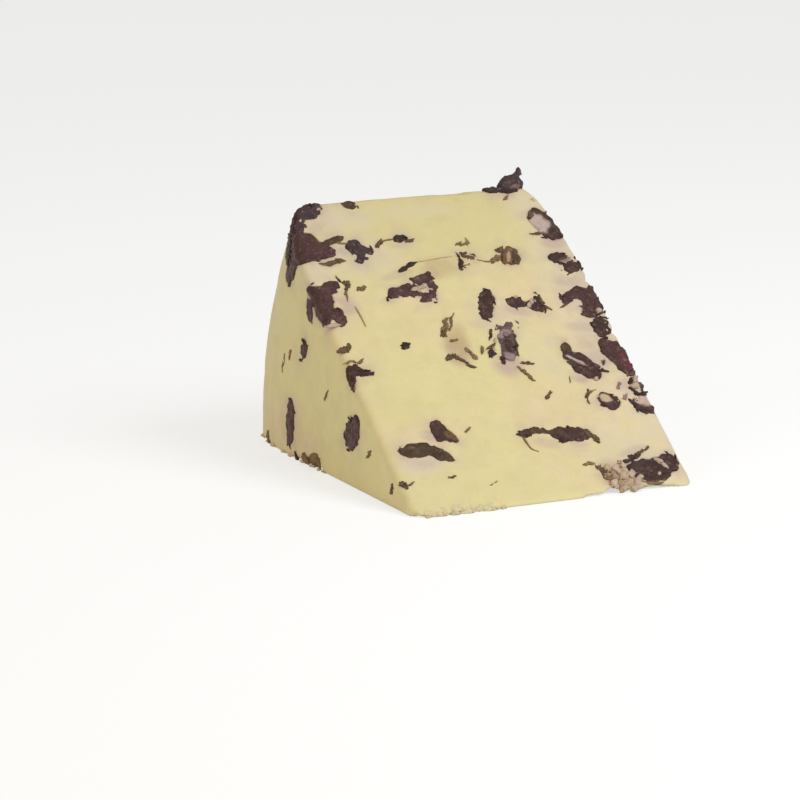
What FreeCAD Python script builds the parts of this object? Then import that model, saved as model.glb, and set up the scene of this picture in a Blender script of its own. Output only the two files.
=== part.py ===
import FreeCAD, Part
import math
import os

# A wedge of pressed fruit cheese, cut from a small wheel that lies on its rim.
# The wedge rests on one cut face. The other cut face leans back from the front
# bottom edge, which is the wheel's axis, up to the ridge at the back. The rim of
# the wheel closes the back, and the wheel's two flat faces are the left and
# right sides, rounded over where they meet the rim.
# X runs along the wheel's axis, +Y runs back from the axis edge, and +Z is up.
# Lengths are in millimetres and angles in degrees.

# The wheel and the cut
wheel_radius = 92.0
wheel_height = 69.3
cut_angle = 38.0

# The shoulders are quarter ellipses: their reach across the rim and down the side
left_shoulder_across = 7.9
left_shoulder_down = 25.0
right_shoulder_across = 6.1
right_shoulder_down = 31.2

# Berries: how far a cut one stands above the face, how deep its middle lies as a
# share of its half thickness, its thickness as a share of its width, and the most
# that thickness can be
fruit_proud = 0.3
fruit_sink = 0.25
fruit_fullness = 0.85
thickest_fruit = 6.0

# The wrinkles of a dried berry: their depth as a share of its size, how many go
# round it, and how many facets it has round and along
wrinkle_depth = 0.09
wrinkles_round = 3
facets_round = 8
facets_along = 5

# Every berry is one or more lobes. A lobe is a face of the cheese, its place on
# that face in hundredths of the face, then its length, width and turn. The two
# places are: across from the left and out from the axis, on the front and base;
# out from the axis and round from the base, on the left and right; across from
# the left and round from the base, on the rim. The turn goes up from the first
# direction of the face: to the right on the front and rim, back on the sides.
berries_in_front = [
    # along the ridge
    [("front", 87.5, 101, 8.4, 5, 20), ("front", 91, 103.5, 6.8, 2.8, 52), ("front", 81, 100, 5.4, 2.4, 0)],
    [("front", 10.5, 97.5, 8.5, 4.8, 25), ("front", 5.5, 93, 7, 3.4, 65)],
    [("front", 26.5, 98.5, 4, 2.4, -25)],
    # down the left edge
    [("front", 5, 86, 9.5, 7, 75), ("front", 13.5, 87.2, 7, 2.4, 18), ("front", 10.5, 84, 5, 3.6, 10),
     ("left", 86.8, 95.2, 17, 8, -67)],
    [("front", 1.5, 67.5, 12, 5.6, 78), ("front", 6, 72.5, 7, 3.2, 18), ("front", 5, 63, 5.4, 3, 84),
     ("left", 71.5, 97.5, 5, 3.4, 60), ("left", 71, 91.5, 9, 3, 80)],
    [("front", 2.5, 46, 6, 2.6, -6), ("left", 43.2, 96, 4.6, 2.4, 45)],
    # down the right edge
    [("front", 93.5, 86.5, 11, 6.6, -72)],
    [("front", 93, 75, 6.2, 4, -18)],
    [("front", 95.5, 71.5, 7, 2.8, 20)],
    [("front", 96, 60.5, 10, 4.6, 62), ("front", 94, 63, 5.4, 3.6, 20), ("front", 90, 62.7, 8, 2.8, 30),
     ("front", 95, 57.5, 7, 4.4, 15)],
    [("front", 95, 52, 6.4, 4, 72)],
    [("front", 95.5, 42, 12, 5.6, -72)],
    [("front", 96, 26, 5.4, 4.4, -40)],
    # the upper half of the face
    [("front", 21.5, 84.8, 4.4, 3.2, 60), ("front", 21.8, 81.5, 5, 2.4, 76), ("front", 24.6, 84.2, 4.6, 1.6, -38)],
    [("front", 39, 86, 3.2, 2.1, 0)],
    [("front", 31, 69.3, 9.5, 3.4, 18), ("front", 39, 72.3, 8, 2.6, 26), ("front", 41.7, 68.9, 8.5, 2.8, 74),
     ("front", 37.5, 66.8, 6.4, 2.8, -12)],
    [("front", 58.5, 78.5, 4.6, 2, -12), ("front", 56, 76.5, 4.6, 1.4, 75)],
    [("front", 75, 77.5, 5.2, 4.4, 60)],
    [("front", 58, 62, 10.4, 4.2, 64)],
    [("front", 69.5, 62, 6, 3.2, -8), ("front", 75, 60.5, 5.6, 3.4, -40), ("front", 77.5, 61.5, 5.5, 1.6, -70)],
    # the lower half of the face
    [("front", 59, 49.5, 10, 4.6, 74), ("front", 61.5, 54.5, 6, 2.6, 4)],
    [("front", 78.5, 45, 7, 3.4, 78), ("front", 81.5, 40.5, 10.5, 6, -52)],
    [("front", 84.5, 28.5, 6.4, 4.8, -35)],
    [("front", 65.5, 19.8, 10, 4.4, -6), ("front", 55, 21.4, 9.5, 1.6, -6)],
    [("front", 11.5, 20, 9.5, 3.8, 0), ("front", 17.5, 18.8, 7, 2.8, -42)],
    [("front", 21.5, 25, 5.8, 2.8, 84), ("front", 23.5, 23.5, 4.6, 2.4, -55)],
    [("front", 87, 7, 10.5, 6, 6), ("front", 94.5, 7.5, 6.4, 4.6, 48)],
    [("front", 74.5, 5.5, 6.4, 4.6, 20)],
]
berries_on_left = [
    [("left", 68, 65.5, 5.8, 2.6, -52)],
    [("left", 37, 57, 10, 6, -52)],
    [("left", 70.5, 18, 12, 4.5, -82)],
    [("left", 57.5, 4.5, 9, 3, -4)],
]
berries_on_right = [
    [("right", 90, 60, 10, 5, 70)],
    [("right", 78, 30, 8, 5.4, 40)],
    [("right", 62, 74, 7, 3.4, -20)],
    [("right", 57, 18, 11, 4.2, 15)],
    [("right", 38, 62, 6.4, 4.4, 65)],
    [("right", 36, 22, 5, 2.8, 0)],
]
berries_on_rim = [
    [("rim", 24, 84, 8, 4.6, 30)],
    [("rim", 58, 90, 9.5, 4.2, -12)],
    [("rim", 83, 66, 8.4, 5, 75)],
    [("rim", 42, 62, 6, 4.4, 50)],
    [("rim", 17, 48, 10, 4.4, -62)],
    [("rim", 66, 40, 11, 4.6, 18)],
    [("rim", 36, 26, 7, 4.2, -30)],
    [("rim", 80, 20, 6, 4.6, 10)],
    [("rim", 13, 12, 7.4, 3.4, 20)],
]
berries_under = [
    [("base", 28, 30, 9, 5, 35)],
    [("base", 66, 48, 10, 4.4, -25)],
    [("base", 36, 72, 8, 5.4, 80)],
    [("base", 76, 84, 7, 4, 10)],
    [("base", 12, 58, 6.4, 3.6, -50)],
]

# Crumbled places on the bottom edges, as lobes that are left out of the cheese
chips = [
    ("front", 66, 0, 10, 2.4, 0),
    ("front", 82, 0, 14, 3.6, 0),
    ("left", 57, 0.5, 10, 2.8, 0),
    ("left", 88, 0.5, 5, 3, -30),
]

# The folder for the STEP files
parts_folder = "parts"

along_axis = FreeCAD.Vector(1, 0, 0)
backward = FreeCAD.Vector(0, 1, 0)
upward = FreeCAD.Vector(0, 0, 1)


def around_axis(distance_across, distance_out, angle):
    """The point at a place along the axis, a distance out from it and an angle up."""
    turned = math.radians(angle)
    return FreeCAD.Vector(distance_across, distance_out * math.cos(turned), distance_out * math.sin(turned))


def quarter_ellipse(centre, far_point, side_point):
    """The arc from the end of the long half axis to the end of the short one."""
    return Part.ArcOfEllipse(Part.Ellipse(far_point, side_point, centre), 0, math.pi / 2).toShape()


def half_wheel(spare):
    """The wheel's outline on one side of its axis, with a skin of spare thickness."""
    side = wheel_height / 2 + spare
    rim = wheel_radius + spare
    left_x = -wheel_height / 2 + left_shoulder_across
    right_x = wheel_height / 2 - right_shoulder_across
    left_y = wheel_radius - left_shoulder_down
    right_y = wheel_radius - right_shoulder_down
    left_centre = FreeCAD.Vector(left_x, left_y, 0)
    right_centre = FreeCAD.Vector(right_x, right_y, 0)
    left_top = FreeCAD.Vector(left_x, rim, 0)
    left_side = FreeCAD.Vector(-side, left_y, 0)
    right_top = FreeCAD.Vector(right_x, rim, 0)
    right_side = FreeCAD.Vector(side, right_y, 0)
    left_axis = FreeCAD.Vector(-side, 0, 0)
    right_axis = FreeCAD.Vector(side, 0, 0)
    edges = [
        Part.makeLine(left_axis, left_side),
        quarter_ellipse(left_centre, left_top, left_side),
        Part.makeLine(left_top, right_top),
        quarter_ellipse(right_centre, right_top, right_side),
        Part.makeLine(right_side, right_axis),
        Part.makeLine(right_axis, left_axis),
    ]
    return Part.Face(Part.Wire(Part.__sortEdges__(edges)))


def sector(spare, first_angle, last_angle):
    """The wheel between two angles about its axis."""
    face = half_wheel(spare)
    face.rotate(FreeCAD.Vector(), along_axis, first_angle)
    return face.revolve(FreeCAD.Vector(), along_axis, last_angle - first_angle)


def trimming_wedge():
    """All that lies under the skin of the cut faces and the rim, down to the base."""
    reach = 3 * wheel_radius
    spare_angle = 20.0
    half_width = wheel_height
    apex = FreeCAD.Vector(-half_width, -fruit_proud / math.sin(math.radians(cut_angle)), 0)
    lean = around_axis(0, reach, cut_angle)
    outline = [apex, apex + backward * reach, apex + lean, apex]
    prism = Part.Face(Part.makePolygon(outline)).extrude(along_axis * 2 * half_width)
    return sector(fruit_proud, -spare_angle, cut_angle + spare_angle).common(prism)


def seat(face, first, second):
    """A place on a face, with the face's two directions and its outward normal."""
    first_share = first / 100.0
    second_share = second / 100.0
    across = (first_share - 0.5) * wheel_height
    lean = around_axis(0, 1, cut_angle)
    if face == "front":
        outward = around_axis(0, 1, cut_angle + 90)
        return around_axis(across, second_share * wheel_radius, cut_angle), along_axis, lean, outward
    if face == "base":
        return around_axis(across, second_share * wheel_radius, 0), along_axis, backward, -upward
    if face == "rim":
        angle = second_share * cut_angle
        outward = around_axis(0, 1, angle)
        return around_axis(across, wheel_radius, angle), along_axis, around_axis(0, 1, angle + 90), outward
    side = 1 if face == "right" else -1
    place = around_axis(side * side_reach(face, first_share * wheel_radius),
                        first_share * wheel_radius, second_share * cut_angle)
    return place, backward, upward, along_axis * side


def side_reach(face, distance_out):
    """How far a side stands from the middle of the wheel at a distance out from the axis."""
    across = right_shoulder_across if face == "right" else left_shoulder_across
    down = right_shoulder_down if face == "right" else left_shoulder_down
    share = max(0.0, (distance_out - (wheel_radius - down)) / down)
    return wheel_height / 2 - across * (1 - math.sqrt(1 - min(share, 1.0) ** 2))


def closed_solid(points, triangles):
    """A solid from the corners of its facets."""
    shell = Part.Shape()
    shell.makeShapeFromMesh((points, triangles), 0.001)
    solid = Part.Solid(Part.Shell(shell.Faces))
    if solid.Volume < 0:
        solid.reverse()
    return solid


def lobe(face, first, second, length, width, turn):
    """One lump of a dried berry: a long round body with wrinkles along it."""
    place, along_face, up_face, outward = seat(face, first, second)
    turned = math.radians(turn)
    along = along_face * math.cos(turned) + up_face * math.sin(turned)
    beside = up_face * math.cos(turned) - along_face * math.sin(turned)
    thickness = min(width * fruit_fullness, thickest_fruit)
    centre = place - outward * (fruit_sink * thickness / 2)
    points = [centre - along * (length / 2)]
    for ring in range(facets_along):
        latitude = math.radians(180.0 * (ring + 1) / (facets_along + 1) - 90)
        for step in range(facets_round):
            around = math.radians(360.0 * step / facets_round)
            phase = wrinkles_round * around + 2 * latitude + first
            size = math.cos(latitude) * (1 + wrinkle_depth * math.sin(phase))
            points.append(centre + along * (length / 2 * math.sin(latitude))
                          + beside * (width / 2 * size * math.cos(around))
                          + outward * (thickness / 2 * size * math.sin(around)))
    points.append(centre + along * (length / 2))
    last = len(points) - 1
    last_ring = last - facets_round
    triangles = []
    for step in range(facets_round):
        after = (step + 1) % facets_round
        triangles.append((0, 1 + after, 1 + step))
        triangles.append((last, last_ring + step, last_ring + after))
        for ring in range(facets_along - 1):
            start = 1 + ring * facets_round
            triangles.append((start + step, start + after, start + facets_round + step))
            triangles.append((start + after, start + facets_round + after, start + facets_round + step))
    return closed_solid(points, triangles)


def largest_solid(shape):
    """The biggest piece of a shape that a cut may have left in several."""
    return max(shape.Solids, key=lambda solid: solid.Volume)


def whole_berry(lobes):
    """The lobes of one berry, joined."""
    body = lobe(*lobes[0])
    for row in lobes[1:]:
        body = body.fuse(lobe(*row))
    return largest_solid(body)


def clear_of(body, neighbours):
    """A berry pressed against its neighbours, which keep their own room."""
    for other in neighbours:
        if body.BoundBox.intersect(other.BoundBox):
            body = largest_solid(body.cut(other))
    return body


def make_berries():
    """Each berry's node name, with its whole body."""
    groups = [("front", berries_in_front), ("left", berries_on_left), ("right", berries_on_right),
              ("rim", berries_on_rim), ("under", berries_under)]
    bodies = {}
    for group, rows in groups:
        for number, lobes in enumerate(rows, 1):
            body = clear_of(whole_berry(lobes), bodies.values())
            bodies["fruit_%s_%02d" % (group, number)] = body
    return bodies


def make_cheese(berry_bodies):
    """The wedge, less its crumbled places and the pockets that hold the berries."""
    wedge = sector(0, 0, cut_angle)
    for chip in chips:
        wedge = wedge.cut(lobe(*chip))
    for body in berry_bodies:
        wedge = largest_solid(wedge.cut(body))
    return wedge


def make_nodes():
    """All the pieces, with the origin under the middle of the whole, on the base."""
    bodies = make_berries()
    trim = trimming_wedge()
    standing = "fruit_front_01"
    nodes = {"cheese": make_cheese(bodies.values())}
    for name, body in bodies.items():
        nodes[name] = body if name == standing else largest_solid(body.common(trim))
    box = Part.makeCompound(list(nodes.values())).BoundBox
    shift = FreeCAD.Vector(-(box.XMin + box.XMax) / 2, -(box.YMin + box.YMax) / 2, -box.ZMin)
    for shape in nodes.values():
        shape.translate(shift)
    return nodes


def main():
    os.makedirs(parts_folder, exist_ok=True)
    nodes = make_nodes()
    facets = 0
    for name, shape in nodes.items():
        shape.exportStep(os.path.join(parts_folder, name + ".step"))
        facets += len(shape.Faces)
        print("%-16s volume %9.1f  faces %4d  valid %s" % (name, shape.Volume, len(shape.Faces), shape.isValid()))
    box = Part.makeCompound(list(nodes.values())).BoundBox
    volume = sum(shape.Volume for shape in nodes.values())
    print("pieces %d  faces %d  volume %.1f  box %.1f x %.1f x %.1f" % (
        len(nodes), facets, volume, box.XLength, box.YLength, box.ZLength))


main()
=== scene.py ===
import bmesh
import bpy
import math
import numpy as np
import openvdb
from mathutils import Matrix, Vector


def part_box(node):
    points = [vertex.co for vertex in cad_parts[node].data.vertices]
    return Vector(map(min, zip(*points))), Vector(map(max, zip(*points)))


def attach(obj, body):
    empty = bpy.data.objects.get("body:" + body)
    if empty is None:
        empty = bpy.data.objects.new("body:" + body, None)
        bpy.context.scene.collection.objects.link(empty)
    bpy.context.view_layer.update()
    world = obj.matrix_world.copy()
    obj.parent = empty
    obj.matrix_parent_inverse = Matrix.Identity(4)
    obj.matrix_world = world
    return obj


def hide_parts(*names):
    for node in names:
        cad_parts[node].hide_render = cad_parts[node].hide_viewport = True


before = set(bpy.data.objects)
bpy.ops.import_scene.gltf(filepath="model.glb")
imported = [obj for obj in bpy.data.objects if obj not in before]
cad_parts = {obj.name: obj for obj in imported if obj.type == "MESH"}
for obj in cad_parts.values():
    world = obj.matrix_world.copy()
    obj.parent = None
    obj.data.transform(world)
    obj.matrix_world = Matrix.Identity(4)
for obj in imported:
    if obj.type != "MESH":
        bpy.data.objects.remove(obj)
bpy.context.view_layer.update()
print("frame loaded")

# All shapes are worked out in millimetres from the wheel's axis: x across the
# wheel from its middle, y back along the base, z up. toFrame puts them in place.
millimetre = 0.001
cheeseLow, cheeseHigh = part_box("cheese")
axisPlace = np.array([(cheeseLow.x + cheeseHigh.x) / 2, cheeseLow.y, cheeseLow.z]) / millimetre

wheel = {
    "height": (cheeseHigh.x - cheeseLow.x) / millimetre,
    "radius": (cheeseHigh.y - cheeseLow.y) / millimetre,
    "angle": math.asin((cheeseHigh.z - cheeseLow.z) / (cheeseHigh.y - cheeseLow.y)),
    "leftShoulder": (7.9, 25.0),      # across the rim, down the side
    "rightShoulder": (6.1, 31.2),
    "edgeRound": {"ridge": 0.9, "side": 2.0, "base": 0.9, "apex": 0.7},
    "ridgeZone": (12, 2),      # from the rim, where the side edges take the ridge's rounding
    "apexZone": (2, 8),        # from the bottom edge, where the apex's rounding becomes the base's
}
halfWidth = wheel["height"] / 2
lean = np.array([0, math.cos(wheel["angle"]), math.sin(wheel["angle"])])
faceOut = np.array([0, -math.sin(wheel["angle"]), math.cos(wheel["angle"])])
across = np.array([1.0, 0, 0])
backward = np.array([0, 1.0, 0])
upward = np.array([0, 0, 1.0])
heart = np.array([0, 60, 20])      # a place deep inside the wedge


def toFrame(points):
    return (points + axisPlace) * millimetre


def fromFrame(points):
    return points / millimetre - axisPlace


def blended(table, base, part):
    # the value between the eight cells round each place, in a table that repeats
    total = np.zeros(part.shape[:-1], part.dtype)
    size = np.array(table.shape)
    for corner in range(8):
        step = np.array([corner >> 2 & 1, corner >> 1 & 1, corner & 1])
        weight = np.prod(np.where(step, part, 1 - part), axis=-1)
        cell = (base + step) % size
        total += weight * table[cell[..., 0], cell[..., 1], cell[..., 2]]
    return total


class Grain:
    # a smooth random field between -1 and 1, in lumps of one size
    turn = np.array([[0.80, 0.36, -0.48], [-0.60, 0.48, -0.64], [0.0, 0.80, 0.60]])
    cells = 32

    def __init__(self, seed, lump):
        self.lump = lump
        self.table = np.random.default_rng(seed).uniform(-1, 1, (self.cells,) * 3).astype(np.float32)

    def at(self, points):
        scaled = (points @ self.turn.T / self.lump).astype(np.float32)
        base = np.floor(scaled).astype(np.int32)
        part = scaled - base
        return blended(self.table, base, part * part * (3 - 2 * part))


class Field:
    # distances to a surface on a grid of their own, negative inside it
    def __init__(self, values, low, step):
        self.values = values
        self.low = np.asarray(low, float)
        self.step = step

    def points(self):
        axes = [self.low[k] + self.step * np.arange(self.values.shape[k]) for k in range(3)]
        return np.stack(np.meshgrid(*axes, indexing="ij"), axis=-1).astype(np.float32)

    def at(self, points, outside=9.0):
        scaled = (points - self.low) / self.step
        size = np.array(self.values.shape)
        known = np.all((scaled >= 0) & (scaled < size - 1), axis=-1)
        base = np.clip(np.floor(scaled).astype(np.int32), 0, size - 2)
        return np.where(known, blended(self.values, base, np.clip(scaled - base, 0, 1)), outside)

    def surface(self):
        reach = 3 * self.step
        grid = openvdb.FloatGrid(reach)
        grid.copyFromArray(np.clip(self.values, -reach, reach).astype(np.float32))
        grid.transform = openvdb.createLinearTransform(voxelSize=self.step)
        points, _, quads = grid.convertToPolygons(isovalue=0.0, adaptivity=0.0)
        return points + self.low, quads


def emptyField(low, high, step):
    size = np.ceil((np.asarray(high) - np.asarray(low)) / step).astype(int) + 1
    return Field(np.zeros(size, np.float32), low, step)


def fieldOfMesh(points, triangles, step, reach):
    low = np.floor((points.min(0) - reach) / step).astype(int)
    size = np.ceil((points.max(0) + reach) / step).astype(int) - low + 1
    grid = openvdb.FloatGrid.createLevelSetFromPolygons(
        points.astype(np.float32), triangles=triangles.astype(np.uint32),
        transform=openvdb.createLinearTransform(voxelSize=step), halfWidth=reach / step)
    values = np.full(size, reach, np.float32)
    grid.copyToArray(values, ijk=tuple(int(k) for k in low))
    return Field(values, low * step, step)


def nodeMesh(name):
    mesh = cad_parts[name].data
    mesh.calc_loop_triangles()
    points = np.zeros(len(mesh.vertices) * 3)
    mesh.vertices.foreach_get("co", points)
    triangles = np.zeros(len(mesh.loop_triangles) * 3, np.int32)
    mesh.loop_triangles.foreach_get("vertices", triangles)
    return fromFrame(points.reshape(-1, 3)), triangles.reshape(-1, 3)


def smoothMax(first, second, blend):
    share = np.clip(0.5 + 0.5 * (first - second) / blend, 0, 1)
    return second + (first - second) * share + blend * share * (1 - share)


def ease(low, high, value):
    share = np.clip((value - low) / (high - low), 0, 1)
    return share * share * (3 - 2 * share)


def turned(first, second, angle):
    # two directions, or two places along them, turned by an angle
    return (first * math.cos(angle) + second * math.sin(angle),
            second * math.cos(angle) - first * math.sin(angle))


def sideField(x, out, shoulder):
    # distance from one flat side of the wheel, its rounded shoulder and its rim
    reach, down = shoulder
    flat = x - halfWidth
    rim = out - wheel["radius"]
    towardSide = np.maximum(x - (halfWidth - reach), 0)
    towardRim = np.maximum(out - (wheel["radius"] - down), 0)
    ratio = np.sqrt((towardSide / reach) ** 2 + (towardRim / down) ** 2)
    slope = np.sqrt((towardSide / reach ** 2) ** 2 + (towardRim / down ** 2) ** 2)
    rounded = ratio * (ratio - 1) / np.maximum(slope, 1e-4)
    corner = (towardSide > 0) & (towardRim > 0)
    return np.where(corner, rounded, np.maximum(flat, rim))


def outwardAt(points):
    # the outward direction of the plain wedge near each point
    ways = np.eye(3) * 0.4
    slope = np.stack([wedgeField(points + way) - wedgeField(points - way) for way in ways], axis=-1)
    return slope / np.maximum(np.linalg.norm(slope, axis=-1, keepdims=True), 1e-6)


def beneath(points, depth):
    # the same places brought to one depth under the skin, where they lie above it
    lift = np.maximum(wedgeField(points) + depth, 0)
    return points - outwardAt(points) * lift[..., None]


def wedgeField(points):
    # distance from the plain wedge, its edges a little rounded
    x, y, z = points[..., 0], points[..., 1], points[..., 2]
    out = np.sqrt(y * y + z * z)
    left = sideField(-x, out, wheel["leftShoulder"])
    right = sideField(x, out, wheel["rightShoulder"])
    body = np.where(x < 0, left, right)
    front = points @ faceOut
    farZone, nearZone = wheel["ridgeZone"]
    nearRim = ease(wheel["radius"] - farZone, wheel["radius"] - nearZone, out)
    rounds = wheel["edgeRound"]
    body = smoothMax(body, front, rounds["side"] + (rounds["ridge"] - rounds["side"]) * nearRim)
    onBase = rounds["apex"] + (rounds["base"] - rounds["apex"]) * ease(*wheel["apexZone"], y)
    return smoothMax(body, -z, onBase)


def makeMesh(name, points, faces, colours=None):
    # colours: attribute name -> one value or one colour for each point
    mesh = bpy.data.meshes.new(name)
    mesh.vertices.add(len(points))
    mesh.vertices.foreach_set("co", toFrame(points).astype(np.float32).ravel())
    corners = faces.shape[1]
    mesh.loops.add(faces.size)
    mesh.loops.foreach_set("vertex_index", faces.astype(np.int32).ravel())
    mesh.polygons.add(len(faces))
    mesh.polygons.foreach_set("loop_start", np.arange(0, faces.size, corners, dtype=np.int32))
    mesh.polygons.foreach_set("use_smooth", np.ones(len(faces), bool))
    mesh.update(calc_edges=True)
    mesh.validate()
    for title, values in (colours or {}).items():
        if values.ndim == 1:
            layer = mesh.attributes.new(title, "FLOAT", "POINT")
            layer.data.foreach_set("value", values.astype(np.float32))
        else:
            layer = mesh.attributes.new(title, "FLOAT_COLOR", "POINT")
            full = np.ones((len(values), 4), np.float32)
            full[:, :3] = values
            layer.data.foreach_set("color", full.ravel())
    thing = bpy.data.objects.new(name, mesh)
    bpy.context.scene.collection.objects.link(thing)
    return thing


def linear(red, green, blue):
    # a colour as read off a screen, from 0 to 255, as light
    shares = np.array([red, green, blue]) / 255
    return np.where(shares <= 0.04045, shares / 12.92, ((shares + 0.055) / 1.055) ** 2.4)


def facePlace(x, up):
    # a place on the sloping face: across from its middle, and up from its bottom edge
    return across * x + lean * up


class Wire:
    # a socket that can be added, subtracted and multiplied
    def __init__(self, shader, socket):
        self.shader = shader
        self.socket = socket

    def worked(self, operation, first, second):
        return self.shader.node("ShaderNodeMath", {"operation": operation}, {0: first, 1: second})

    def __add__(self, other):
        return self.worked("ADD", self, other)

    def __radd__(self, other):
        return self.worked("ADD", other, self)

    def __sub__(self, other):
        return self.worked("SUBTRACT", self, other)

    def __rsub__(self, other):
        return self.worked("SUBTRACT", other, self)

    def __mul__(self, other):
        return self.worked("MULTIPLY", self, other)

    def between(self, low, high):
        return self.shader.node("ShaderNodeMapRange", {"interpolation_type": "SMOOTHSTEP"},
                                {"Value": self, "From Min": low, "From Max": high})


class Shader:
    # the nodes of a material or a world, with one method for every kind of node
    def __init__(self, owner):
        self.owner = owner
        owner.use_nodes = True
        self.tree = owner.node_tree
        self.tree.nodes.clear()

    def node(self, kind, settings=None, sockets=None, output=0):
        made = self.tree.nodes.new(kind)
        for title, value in (settings or {}).items():
            setattr(made, title, value)
        for title, value in (sockets or {}).items():
            if isinstance(value, Wire):
                self.tree.links.new(value.socket, made.inputs[title])
            else:
                made.inputs[title].default_value = value
        return Wire(self, made.outputs[output]) if len(made.outputs) else None

    def noise(self, scale, detail, rough, place=None, distort=0.0):
        sockets = {"Scale": scale, "Detail": detail, "Roughness": rough, "Distortion": distort}
        sockets["Vector"] = place or self.place()
        return self.node("ShaderNodeTexNoise", {}, sockets)

    def place(self, stretch=(1, 1, 1)):
        coordinates = self.node("ShaderNodeTexCoord", {}, {}, "Object")
        if stretch == (1, 1, 1):
            return coordinates
        return self.node("ShaderNodeVectorMath", {"operation": "MULTIPLY"}, {0: coordinates, 1: stretch})

    def painted(self, title, output="Fac"):
        return self.node("ShaderNodeAttribute", {"attribute_name": title}, {}, output)

    def mix(self, factor, first, second):
        # the numbered sockets are the factor, the two colours and the colour that comes out
        first = first if isinstance(first, Wire) else (*first, 1)
        second = second if isinstance(second, Wire) else (*second, 1)
        return self.node("ShaderNodeMix", {"data_type": "RGBA"}, {0: factor, 6: first, 7: second}, 2)

    def bump(self, height, depth, strength, under=None):
        sockets = {"Height": height, "Distance": depth, "Strength": strength}
        if under is not None:
            sockets["Normal"] = under
        return self.node("ShaderNodeBump", {}, sockets)

    def finish(self, sockets):
        surface = self.node("ShaderNodeBsdfPrincipled", {}, sockets)
        self.node("ShaderNodeOutputMaterial", {}, {"Surface": surface})
        return self.owner


def newShader(name):
    return Shader(bpy.data.materials.new(name))


# The berries: what grows them past their plain solids, how ragged they are, and
# the look of each kind of flesh
berryLook = {
    "step": 0.28,          # of the grid that they are shaped on
    "reach": 1.7,          # of that grid, past the plain solid
    "grow": 0.22,
    "lumps": ((3.0, 0.42), (1.25, 0.48), (0.68, 0.30)),    # size and depth of the ragged outline
    "relief": ((1.7, 0.20), (0.75, 0.18)),     # size and depth of the torn top
    "proud": 0.16,
    "topBlend": 0.25,
    "wrinkles": ((1.5, 0.30), (0.7, 0.10)),    # of the whole berry on the ridge
    "gapRagged": 0.4,
    "gapBlend": 0.2,
    "veilDepth": 0.9,      # how far a smear of cheese presses the top down
    "tone": 0.30,          # how uneven the flesh is
    "tintRagged": 0.25,
    "tintEdge": (0.75, 1.15),
    "colours": {
        "dark": (70, 44, 38), "plum": (82, 51, 49), "black": (54, 37, 30), "olive": (82, 61, 36),
        "brown": (132, 99, 60), "grey": (104, 82, 78), "red": (104, 48, 54), "blue": (74, 52, 56),
        "slate": (62, 48, 46), "lilac": (198, 176, 168), "beige": (182, 154, 122), "nut": (116, 86, 56),
        "mauve": (138, 100, 106), "dusk": (156, 134, 138),
        "pink": (206, 180, 166), "pale": (206, 182, 150), "rose": (172, 136, 118),
    },
}
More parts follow.
